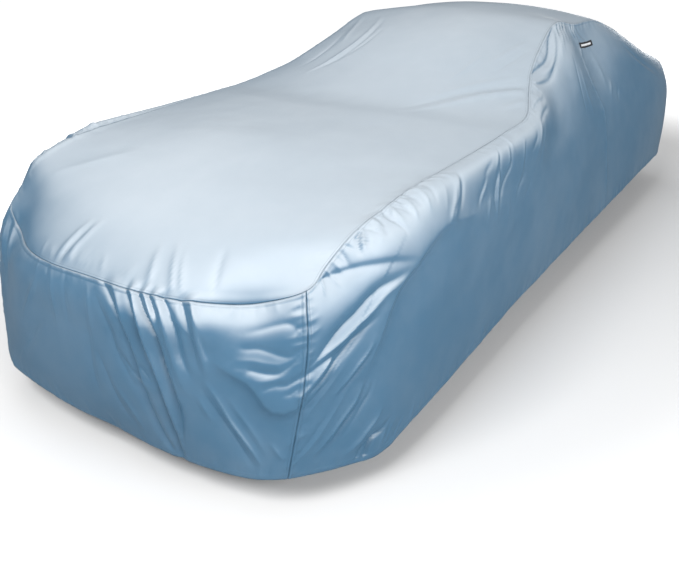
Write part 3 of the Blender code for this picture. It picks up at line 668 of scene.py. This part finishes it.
def cloth_at(along, rows):
    """The cover's side at the given distances round: points, outward directions, places, and the
    distances from the nearest seam and from the hem."""
    trial = np.broadcast_to(np.linspace(0, 1, TRIALS), (len(along), TRIALS))
    share, down, to_hem = [], [], []
    for column in hung(along, trial):
        run = chord(column)
        depth = rows(run[-1])
        share.append(np.interp(depth, run, trial[0]))
        down.append(depth)
        to_hem.append(run[-1] - depth)
    share, down, to_hem = np.array(share), np.array(down), np.array(to_hem)
    step, slip = 0.002, 0.003
    round_run = hung(along + step, share) - hung(along - step, share)
    down_run = hung(along, np.clip(share + slip, 0, 1)) - hung(along, np.clip(share - slip, 0, 1))
    out = np.cross(down_run, round_run)
    out /= np.linalg.norm(out, axis=-1, keepdims=True)
    places = np.stack(np.broadcast_arrays(along[:, None], down), axis=-1)
    upright = np.min([np.abs(places[..., 0] - seam) for seam in UPRIGHT_SEAMS], axis=0)
    seam = np.minimum(upright, down)
    height = crease_height(places, SKIRT_CREASES)
    height += crease_height(places * (-1, 1) + (FAR_CORNER, 0), FAR_SIDE_CREASES)
    height += crease_height(places, SKIRT_PUCKERS) * ease(seam / PUCKER_START)
    height += crease_height(np.stack((places[..., 0], to_hem), axis=-1), HEM_PUCKERS)
    height += drift(places, 0.5) * ease(seam / HELD)
    height += felled(down) * ease(upright / LAPPED + 0.3) + felled(upright)
    turned_up = HEM_RISE * ease((HEM - to_hem) / HEM_STEP + 0.5)
    height += turned_up - TURN_DEPTH * ease(1 - to_hem / TURN_WIDTH)
    shift = sway(places)
    points = out * height[..., None] - ROOF_REST
    for step in SWAY_STEPS:
        others = [other for other in SWAY_STEPS if other != step]
        weight = np.prod([(shift - other) / (step - other) for other in others], axis=0)
        points += hung(along + step, share) * weight[..., None]
    return points, out, places, seam, to_hem


def sew(name, points, places, seam, to_hem, finish, thickness=CLOTH):
    """A sheet of cloth on a grid of points, closed by its own thickness, in a finish."""
    grid = np.arange(points[..., 0].size).reshape(points.shape[:2])
    a, b = grid[:-1, :-1].ravel(), grid[1:, :-1].ravel()
    c, d = grid[1:, 1:].ravel(), grid[:-1, 1:].ravel()
    mesh = bpy.data.meshes.new(name)
    mesh.from_pydata(points.reshape(-1, 3).tolist(), [], np.stack((a, d, c, b), axis=1).tolist())
    corners = np.empty(len(mesh.loops), dtype=np.int32)
    mesh.loops.foreach_get("vertex_index", corners)
    mesh.uv_layers.new(name="lay").uv.foreach_set("vector", places.reshape(-1, 2)[corners].ravel())
    # the painted sheen's share: how squarely and how near each point faces the place above the nose
    facing = np.cross(np.gradient(points, axis=1), np.gradient(points, axis=0))
    facing /= np.linalg.norm(facing, axis=-1, keepdims=True)
    ray = PAINTED_SHEEN_PLACE - points
    reach = np.linalg.norm(ray, axis=-1)
    painted_sheen = (facing * ray).sum(axis=-1) / reach**3 * PAINTED_SHEEN_POWER
    for label, values in (("seam", seam), ("hem", to_hem), ("painted_sheen", painted_sheen)):
        mesh.attributes.new(label, "FLOAT", "POINT").data.foreach_set("value", values.ravel())
    mesh.materials.append(finish)
    mesh.shade_smooth()
    piece = bpy.data.objects.new(name, mesh)
    bpy.context.scene.collection.objects.link(piece)
    bpy.context.view_layer.objects.active = piece
    thick = piece.modifiers.new("thickness", "SOLIDIFY")
    thick.thickness = thickness
    thick.offset = -1
    bpy.ops.object.modifier_apply(modifier=thick.name)
    return piece


def gathers(*stretches):
    """The puckers of several stretches, each given as the arguments of puckers."""
    return [crease for stretch in stretches for crease in puckers(*stretch)]


# Gathers where the machine has pulled the cloth in along the stitching. The first number is the
# seed of a stretch's own random draws. The upright seams have them on both sides.
SKIRT_PUCKERS = gathers(
    (1, 90, 930, 0, 0, 58, 4.0), (2, 930, 2640, 0, 0, 46, 2.4), (3, 2640, 4680, 0, 0, 42, 2.2),
    (4, -1600, -60, 0, 0, 34, 2.0), (5, -2560, -1740, 0, 0, 58, 4.0),
    (6, -6300, -2560, 0, 0, 44, 2.3), (7, 4740, 6380, 0, 0, 36, 2.0),
    (8, 30, 640, 0, 1, 36, 2.4, 26), (9, 30, 640, 0, 1, -36, 2.4, 26),
    (10, 30, 640, 1000 * FAR_CORNER, 1, 36, 2.4, 26),
    (11, 30, 640, 1000 * FAR_CORNER, 1, -36, 2.4, 26),
    (12, 160, 1060, 1000 * MIDDLE, 1, 30, 1.8), (13, 200, 1060, 1000 * MIDDLE, 1, -30, 1.8),
    (14, 40, 1060, 1000 * FAR_MIDDLE, 1, 30, 1.8), (15, 40, 1060, 1000 * FAR_MIDDLE, 1, -30, 1.8),
    (16, 30, 650, 1000 * REAR, 1, 32, 2.0), (17, 30, 650, 1000 * REAR, 1, -32, 2.0),
)
# The same along the hem, as millimetres along and up from the hem.
HEM_PUCKERS = gathers(
    (21, -1600, -60, 0, 0, 60, 2.2, 42), (22, 60, 2840, 0, 0, 64, 2.6, 46),
    (23, 2920, 4660, 0, 0, 60, 2.4, 46), (24, -4480, -1700, 0, 0, 64, 2.6, 46),
    (25, -6300, -4560, 0, 0, 60, 2.4, 46), (26, 4740, 6380, 0, 0, 50, 2.2, 44),
)
WEAVE = 6980.0  # radians a metre, which is 0.9 mm a yarn
STITCHES = 2094.0  # radians a metre, which is 3 mm a stitch
THREAD_EDGE = (0.0010, 0.0004)  # a row of stitches starts and is full this far from its line


def coated_cloth(name, deep, pale):
    """Satin coated polyester: a fine weave, small crinkles, a painted sheen, and a colour that
    wanders a little.
    """
    material, wire, surface = new_material(name)
    lay = wire.node("ShaderNodeUVMap", {"uv_map": "lay"}, {})
    place = wire.node("ShaderNodeTexCoord", {}, {}, "Object")
    seam = wire.node("ShaderNodeAttribute", {"attribute_name": "seam"}, {}, "Fac")
    hem = wire.node("ShaderNodeAttribute", {"attribute_name": "hem"}, {}, "Fac")
    painted_sheen = wire.node("ShaderNodeAttribute", {"attribute_name": "painted_sheen"}, {}, "Fac")

    def grain(scale, detail):
        inputs = {"Vector": place, "Scale": scale, "Detail": detail}
        return wire.node("ShaderNodeTexNoise", {}, inputs)

    def stitched(away, row):
        return smooth_step(wire.maths("ABSOLUTE", away - row), *THREAD_EDGE)

    along = wire.node("ShaderNodeSeparateXYZ", {}, {"Vector": lay})
    down = Wire(wire.tree, along.socket.node.outputs[1])

    yarns = wire.maths("SINE", along * WEAVE) * wire.maths("SINE", down * WEAVE)
    crinkle = grain(95.0, 3.0)
    dent = grain(22.0, 2.0)
    # lockstitches in two rows beside each seam, and one row on the hem
    dash = smooth_step(wire.maths("SINE", (along + down) * STITCHES), -0.55, -0.25)
    near_row, far_row = [stitched(seam, row) for row in STITCH_ROWS]
    rows = near_row + far_row + stitched(hem, HEM_STITCHES)
    thread = dash * wire.maths("MINIMUM", rows, 1.0)
    # painted shade: darker along the seam's groove, where its shadow falls
    groove_painted_shade = smooth_step(seam, 0.0024, 0.0)

    # painted sheen: pale where it faces the place above the nose, and a little uneven
    painted_sheen_share = smooth_step(painted_sheen + 0.06 * grain(6.0, 2.0), 0.40, 1.02)
    tone = smooth_step(grain(1.7, 3.0) * 0.75 + grain(14.0, 2.0) * 0.25, 0.34, 0.68)
    tone = painted_sheen_share * 0.92 + tone * 0.08
    colour = mixed(tone, (*deep, 1), (*pale, 1))
    # the thread is darker, and the seam's groove gets painted shade
    for share, depth in ((thread, 0.6), (groove_painted_shade, 0.25)):
        colour = mixed(share * 0.4, colour, (*(depth * part for part in deep), 1))
    rough = 0.40 + 0.08 * grain(9.0, 3.0) + 0.16 * thread
    relief = 0.00003 * yarns + 0.00016 * crinkle + 0.0004 * dent + 0.0004 * thread
    bump = wire.node("ShaderNodeBump", {}, {"Height": relief, "Strength": 1.0, "Distance": 1.0})
    wire.feed(surface, {
        "Base Color": colour, "Roughness": rough, "Specular IOR Level": 0.55,
        "Coat Weight": 0.15, "Coat Roughness": 0.45, "Normal": bump,
    })
    return material


# deep is the cloth's own colour; pale is mostly the colour of the painted sheen
cloth_blue = coated_cloth("coated_cloth", (0.040, 0.118, 0.202), (0.395, 0.455, 0.510))


def side_cut(name, along, rows):
    """A cut of the cover's side, from the top seam to the hem, with a number of rows between."""
    points, _, places, seam, to_hem = cloth_at(along, rows_down(rows))
    return sew(name, points, places, seam, to_hem, cloth_blue)


left_front = side_cut("left_front_cloth", spread(0.0, MIDDLE, 372, 1.3), 104)
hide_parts("left_front_side_panel")
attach(left_front, "root")


# ---- Left rear side panel -----------------------------------------------------------------------
# The cut from the seam behind the door to the rear corner, sewn to the top along the rear window
# and tail. It is smoother than the front cut, with a shallow hollow over the rear wing.
left_rear = side_cut("left_rear_cloth", spread(MIDDLE, REAR, 168), 84)
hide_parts("left_rear_side_panel")
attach(left_rear, "root")

# ---- Front panel --------------------------------------------------------------------------------
# The cut across the nose, sewn to the side panels at the two front corners and to the top above
# it. It is too wide for the nose, so its slack hangs in long folds and bunches at the corner.
front = side_cut("front_cloth", spread(0.0, FAR_CORNER, 232, 1.25)[::-1], 96)
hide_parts("front_panel")
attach(front, "root")

# ---- Right side panels --------------------------------------------------------------------------
# The same two cuts for the far side, laid over the same form and sewn in the same way.
right_front = side_cut("right_front_cloth", spread(FAR_CORNER, FAR_MIDDLE, 270, 1.2)[::-1], 84)
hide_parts("right_front_side_panel")
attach(right_front, "root")

right_rear = side_cut("right_rear_cloth", spread(FAR_MIDDLE, FAR_REAR, 150)[::-1], 74)
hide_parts("right_rear_side_panel")
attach(right_rear, "root")

# ---- Rear panel ---------------------------------------------------------------------------------
# The cut across the tail, sewn at the two rear corners and under the edge of the top.
rear = side_cut("rear_cloth", spread(REAR, FAR_TAIL, 150), 64)
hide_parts("rear_panel")
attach(rear, "root")

# ---- Top panel ----------------------------------------------------------------------------------
# One long cut over bonnet, windscreen, roof and rear deck. It lies stretched from nose to tail, and
# pulls into streaks at the foot of the windscreen and into short puckers along its seams.
# The top's centre line, as y, z, one point for each row of SIDE.
SPINE = (
    (-885, 715), (-790, 785), (-670, 845), (-470, 905), (-280, 945), (-30, 985), (280, 1005),
    (530, 1018), (790, 1035), (1060, 1110), (1280, 1190), (1550, 1280), (1860, 1345),
    (2120, 1360), (2500, 1335), (2800, 1285), (3100, 1195), (3400, 1090), (3650, 1000),
    (3935, 900),
)
AHEAD_SHARE = 38 / 56  # share of the top's rows ahead of the middle seam, as in the solids
PACKING = 1.25  # over 1, those rows lie closer towards the nose

# Folds of the top, with points as x, y and rise in millimetres, in the coordinates of SIDE.
TOP_CREASES = (
    # across the foot of the windscreen, to the pillar
    (7, 16, (300, 720, -1), (420, 920, -8), (520, 1050, -11), (690, 1210, -5)),
    (14, 9, (330, 700, 1), (440, 850, 6), (545, 990, 13), (650, 1110, 13), (730, 1190, 5)),
    (9, 9, (360, 900, 0), (440, 1030, 5), (540, 1150, 5), (650, 1270, 1)),
    (7, 8, (600, 1560, 0), (575, 1420, -5), (530, 1250, -3)),
    (7, 8, (560, 1600, 0), (520, 1440, 5), (470, 1290, 1)),
    (7, 8, (420, 1380, 0), (395, 1230, 5), (355, 1080, 1)),
    (8, 9, (690, 960, 1), (740, 1060, 8), (770, 1130, 3)),
    # up the far side of the windscreen
    (7, 8, (-450, 1020, 1), (-370, 1210, 6), (-335, 1400, 6), (-400, 1720, 1)),
    (6, 8, (-420, 1030, 0), (-335, 1210, -5), (-305, 1400, -5), (-360, 1700, 0)),
    (7, 8, (-385, 1100, 0), (-285, 1290, -4), (-265, 1500, -1)),
    (8, 9, (-440, 1350, 0), (-505, 1610, 5), (-540, 1740, 1)),
    (7, 8, (-560, 1100, 0), (-500, 1300, -4), (-520, 1500, -1)),
    # fanning up the bonnet from the nose seam
    (9, 11, (-185, -880, 2), (-178, -840, 6), (-150, -700, 0)),
    (9, 11, (-132, -880, 2), (-126, -835, 6), (-105, -690, 0)),
    (8, 9, (-158, -880, -1), (-152, -830, -5), (-130, -720, 0)),
    (9, 10, (265, -865, 1), (240, -810, 6), (205, -720, 0)),
    (8, 9, (345, -835, 1), (305, -775, 6), (260, -690, 0)),
    (8, 9, (385, -830, 1), (335, -765, 5), (300, -700, 0)),
    (9, 9, (480, -790, 0), (450, -720, -5), (430, -650, 0)),
    (30, 30, (-620, -560, 0), (-500, -420, 4), (-380, -240, 0)),
    # on the rear window and deck
    (16, 18, (420, 2650, 0), (500, 2900, -5), (520, 3150, -1)),
    (16, 18, (-400, 2700, 0), (-480, 2950, 5), (-500, 3200, 1)),
    (14, 18, (-520, 3350, 0), (-200, 3420, -4), (180, 3400, -1)),
)
TOP_PUCKERS = gathers((31, -640, 640, -870, 0, 44, 2.0), (32, -560, 560, 3925, 0, -40, 2.0))
# Gathers along its side seams, as along and in from the seam.
TOP_SIDE_PUCKERS = gathers((33, 90, 930, 0, 0, 44, 2.2), (34, 930, 4650, 0, 0, 38, 1.6))
# Shares of the length over which the rows take the plan and the height of the nose and the tail.
NOSE_PLAN, TAIL_PLAN = 0.22, 0.12
NOSE_LEVEL, TAIL_LEVEL = 0.10, 0.08
CROWN = 2.2  # over 2, a row is flatter in its middle
EDGE_REACH = 0.045  # how far in the edges of the sides still move the top
NO_HEM = 1.0  # a distance to the hem at which none shows
# Rows close by the seams, in millimetres of a top about this long and this wide to each side.
CLOSE_BY = np.array((0, 1.2, 2.6, 5, 8, 12, 17, 24))
TOP_LENGTH, TOP_HALF = 5200, 800


def top_row(back):
    """Distance round the side at which each row of the top meets its seam."""
    ahead = np.clip(back / AHEAD_SHARE, 0, 1) ** PACKING * MIDDLE
    behind = np.clip((back - AHEAD_SHARE) / (1 - AHEAD_SHARE), 0, 1) * (REAR - MIDDLE)
    return ahead + behind


def along_seam(along):
    """Points of an even cover at its top seam, at the given distances round."""
    return lofted(along, np.zeros((len(along), 1)))[:, 0]


def left_half(half, back):
    """The top's left half before any fold, from the nose back and from its centre line out."""
    side = along_seam(top_row(back))
    nose = along_seam(NOSE_MIDDLE * (1 - half))
    tail = along_seam(TAIL_MIDDLE + (REAR - TAIL_MIDDLE) * half)
    spine = through(round_at[corner : corner + len(SIDE)], np.array(SPINE) * MM, top_row(back))
    back = back[:, None]

    def share(end, axis):
        return (end[:, axis] - end[0, axis]) / (end[-1, axis] - end[0, axis])

    like_nose = np.clip(1 - back / NOSE_PLAN, 0, 1) ** 2
    like_tail = np.clip(1 - (1 - back) / TAIL_PLAN, 0, 1) ** 2
    plain = 1 - like_nose - like_tail
    out = half * plain + share(nose, 0) * like_nose + share(tail, 0) * like_tail
    sweep = out**2 * plain + share(nose, 1) * like_nose + share(tail, 1) * like_tail
    rows = np.empty((len(side), len(half), 3))
    rows[..., 0] = side[:, :1] * out
    rows[..., 1] = spine[:, :1] + (side[:, 1:2] - spine[:, :1]) * sweep
    rows[..., 2] = spine[:, 1:] + (side[:, 2:] - spine[:, 1:]) * out**CROWN
    for end, row, reach in ((nose, 0, back / NOSE_LEVEL), (tail, -1, (1 - back) / TAIL_LEVEL)):
        rows[..., 2] += (end[:, 2] - rows[row, :, 2]) * np.clip(1 - reach, 0, 1) ** 2
    return rows


def seam_of_side(along):
    """How the side's cloth stands at its top seam: its push off the even form, and outwards."""
    points, out, _, _, _ = cloth_at(along, lambda length: np.zeros(1))
    push = points[:, 0] + ROOF_REST - hung(along, np.zeros((len(along), 1)))[:, 0]
    return push + GROOVE_DEPTH * out[:, 0], out[:, 0]


close_by = CLOSE_BY / TOP_LENGTH
back = np.concatenate((close_by, np.linspace(0.0062, 0.9938, 266), 1 - close_by[::-1]))
half = np.concatenate((np.linspace(0, 0.96, 72), 1 - CLOSE_BY[::-1] / TOP_HALF))
left = left_half(half, back)
top_points = settled(np.concatenate((left[:, :0:-1] * (-1, 1, 1), left), axis=1))

rows_run = np.linalg.norm(np.diff(top_points, axis=1), axis=-1).cumsum(axis=1)
rows_run = np.concatenate((np.zeros((len(back), 1)), rows_run), axis=1)
columns_run = np.linalg.norm(np.diff(top_points, axis=0), axis=-1).cumsum(axis=0)
columns_run = np.concatenate((np.zeros((1, top_points.shape[1])), columns_run))
away = (rows_run[:, -1:] - rows_run, rows_run, columns_run, columns_run[-1:] - columns_run)
width = np.concatenate((-half[:0:-1], half))
edges = (
    [grid[:, None] for grid in seam_of_side(top_row(back))],
    [grid[:, None] for grid in seam_of_side(2 * NOSE_MIDDLE - top_row(back))],
    [grid[None] for grid in seam_of_side(NOSE_MIDDLE * (1 - width))],
    [grid[None] for grid in seam_of_side(TAIL_MIDDLE + (REAR - TAIL_MIDDLE) * width)],
)
pull = [ease(1 - distance / EDGE_REACH) for distance in away]
free = np.prod([1 - share for share in pull], axis=0)[..., None]
pull = [(share / (1.000001 - share))[..., None] for share in pull]
total = sum(pull) + 1e-9
edge_push = sum(share * push for share, (push, _) in zip(pull, edges)) / total
edge_out = sum(share * out for share, (_, out) in zip(pull, edges)) / total
out = np.cross(np.gradient(top_points, axis=1), np.gradient(top_points, axis=0))
out /= np.linalg.norm(out, axis=-1, keepdims=True)

seam = np.min(away, axis=0)
beside = np.broadcast_to(top_row(back)[:, None], seam.shape)
height = crease_height(top_points[..., :2], TOP_CREASES)
height += crease_height(top_points[..., :2], TOP_PUCKERS) * ease(seam / PUCKER_START)
for inwards in away[:2]:
    places = np.stack((beside, inwards), axis=-1)
    height += crease_height(places, TOP_SIDE_PUCKERS) * ease(seam / PUCKER_START)
height += drift(top_points[..., :2], 3.5)
push = out * height[..., None] * free + edge_push * (1 - free)
out = out * free + edge_out * (1 - free)
out /= np.linalg.norm(out, axis=-1, keepdims=True)
push -= out * groove(seam)[..., None]
points = top_points + push - ROOF_REST
top = sew("top_cloth", points, top_points[..., :2], seam, seam + NO_HEM, cloth_blue)
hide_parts("top_panel")
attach(top, "root")

# ---- Sewn label ---------------------------------------------------------------------------------
# A folded strip of woven black tape with a plain pale stripe, stitched flat to the left rear cut
# beside its front seam, just under the roof edge.
LABEL_BEHIND_SEAM = 0.015
LABEL_LENGTH = 0.17
LABEL_DOWN = 0.115  # from the top seam
LABEL_WIDTH = 0.032
LABEL_THICKNESS = 0.001
LABEL_LIFT = 0.0022  # its face stands off the cloth by this much
RIBS = 5200.0  # radians a metre, which is 1.2 mm a rib
END_STITCHES = 2300.0  # radians a metre, which is 2.7 mm a stitch
# Distances from the label's middle at which the stripe and the row of stitches start and are full.
STRIPE_ACROSS, STRIPE_ALONG = (0.0062, 0.0054), (0.066, 0.065)
STITCHED_AT = 0.081
BLACK, PALE, THREAD = (0.012, 0.013, 0.016, 1), (0.62, 0.64, 0.66, 1), (0.04, 0.045, 0.055, 1)


def woven_tape(name, start, level):
    """Black tape of ribbed weave with a pale stripe down its middle, stitched along both ends."""
    material, wire, surface = new_material(name)
    lay = wire.node("ShaderNodeUVMap", {"uv_map": "lay"}, {})
    along = wire.node("ShaderNodeSeparateXYZ", {}, {"Vector": lay})
    down = Wire(wire.tree, along.socket.node.outputs[1])
    along, down = along - start, down - level
    rib = wire.maths("SINE", along * RIBS) * wire.maths("SINE", down * RIBS)
    end = wire.maths("ABSOLUTE", along - 0.5 * LABEL_LENGTH)
    side = wire.maths("ABSOLUTE", down - 0.5 * LABEL_WIDTH)
    stripe = smooth_step(side, *STRIPE_ACROSS) * smooth_step(end, *STRIPE_ALONG)
    stitch = smooth_step(wire.maths("ABSOLUTE", end - STITCHED_AT), 0.0008, 0.0003)
    stitch = stitch * smooth_step(wire.maths("SINE", down * END_STITCHES), -0.5, -0.2)
    worn = wire.node("ShaderNodeTexNoise", {}, {"Vector": lay, "Scale": 160.0, "Detail": 2.0})
    colour = mixed(stitch, mixed(stripe * (0.85 + 0.15 * worn), BLACK, PALE), THREAD)
    relief = 0.00008 * rib + 0.0002 * stripe + 0.0003 * stitch
    bump = wire.node("ShaderNodeBump", {}, {"Height": relief, "Strength": 1.0, "Distance": 1.0})
    wire.feed(surface, {"Base Color": colour, "Roughness": 0.72, "Normal": bump})
    return material


along = np.linspace(0, LABEL_LENGTH, 69) + MIDDLE + LABEL_BEHIND_SEAM
label_rows = LABEL_DOWN + np.linspace(0, LABEL_WIDTH, 15)
points, out, places, seam, to_hem = cloth_at(along, lambda length: label_rows)
tape = woven_tape("woven_tape", MIDDLE + LABEL_BEHIND_SEAM, LABEL_DOWN)
label = sew("woven_label", points + LABEL_LIFT * out, places, seam, to_hem, tape, LABEL_THICKNESS)
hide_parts("sewn_label")
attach(label, "root")
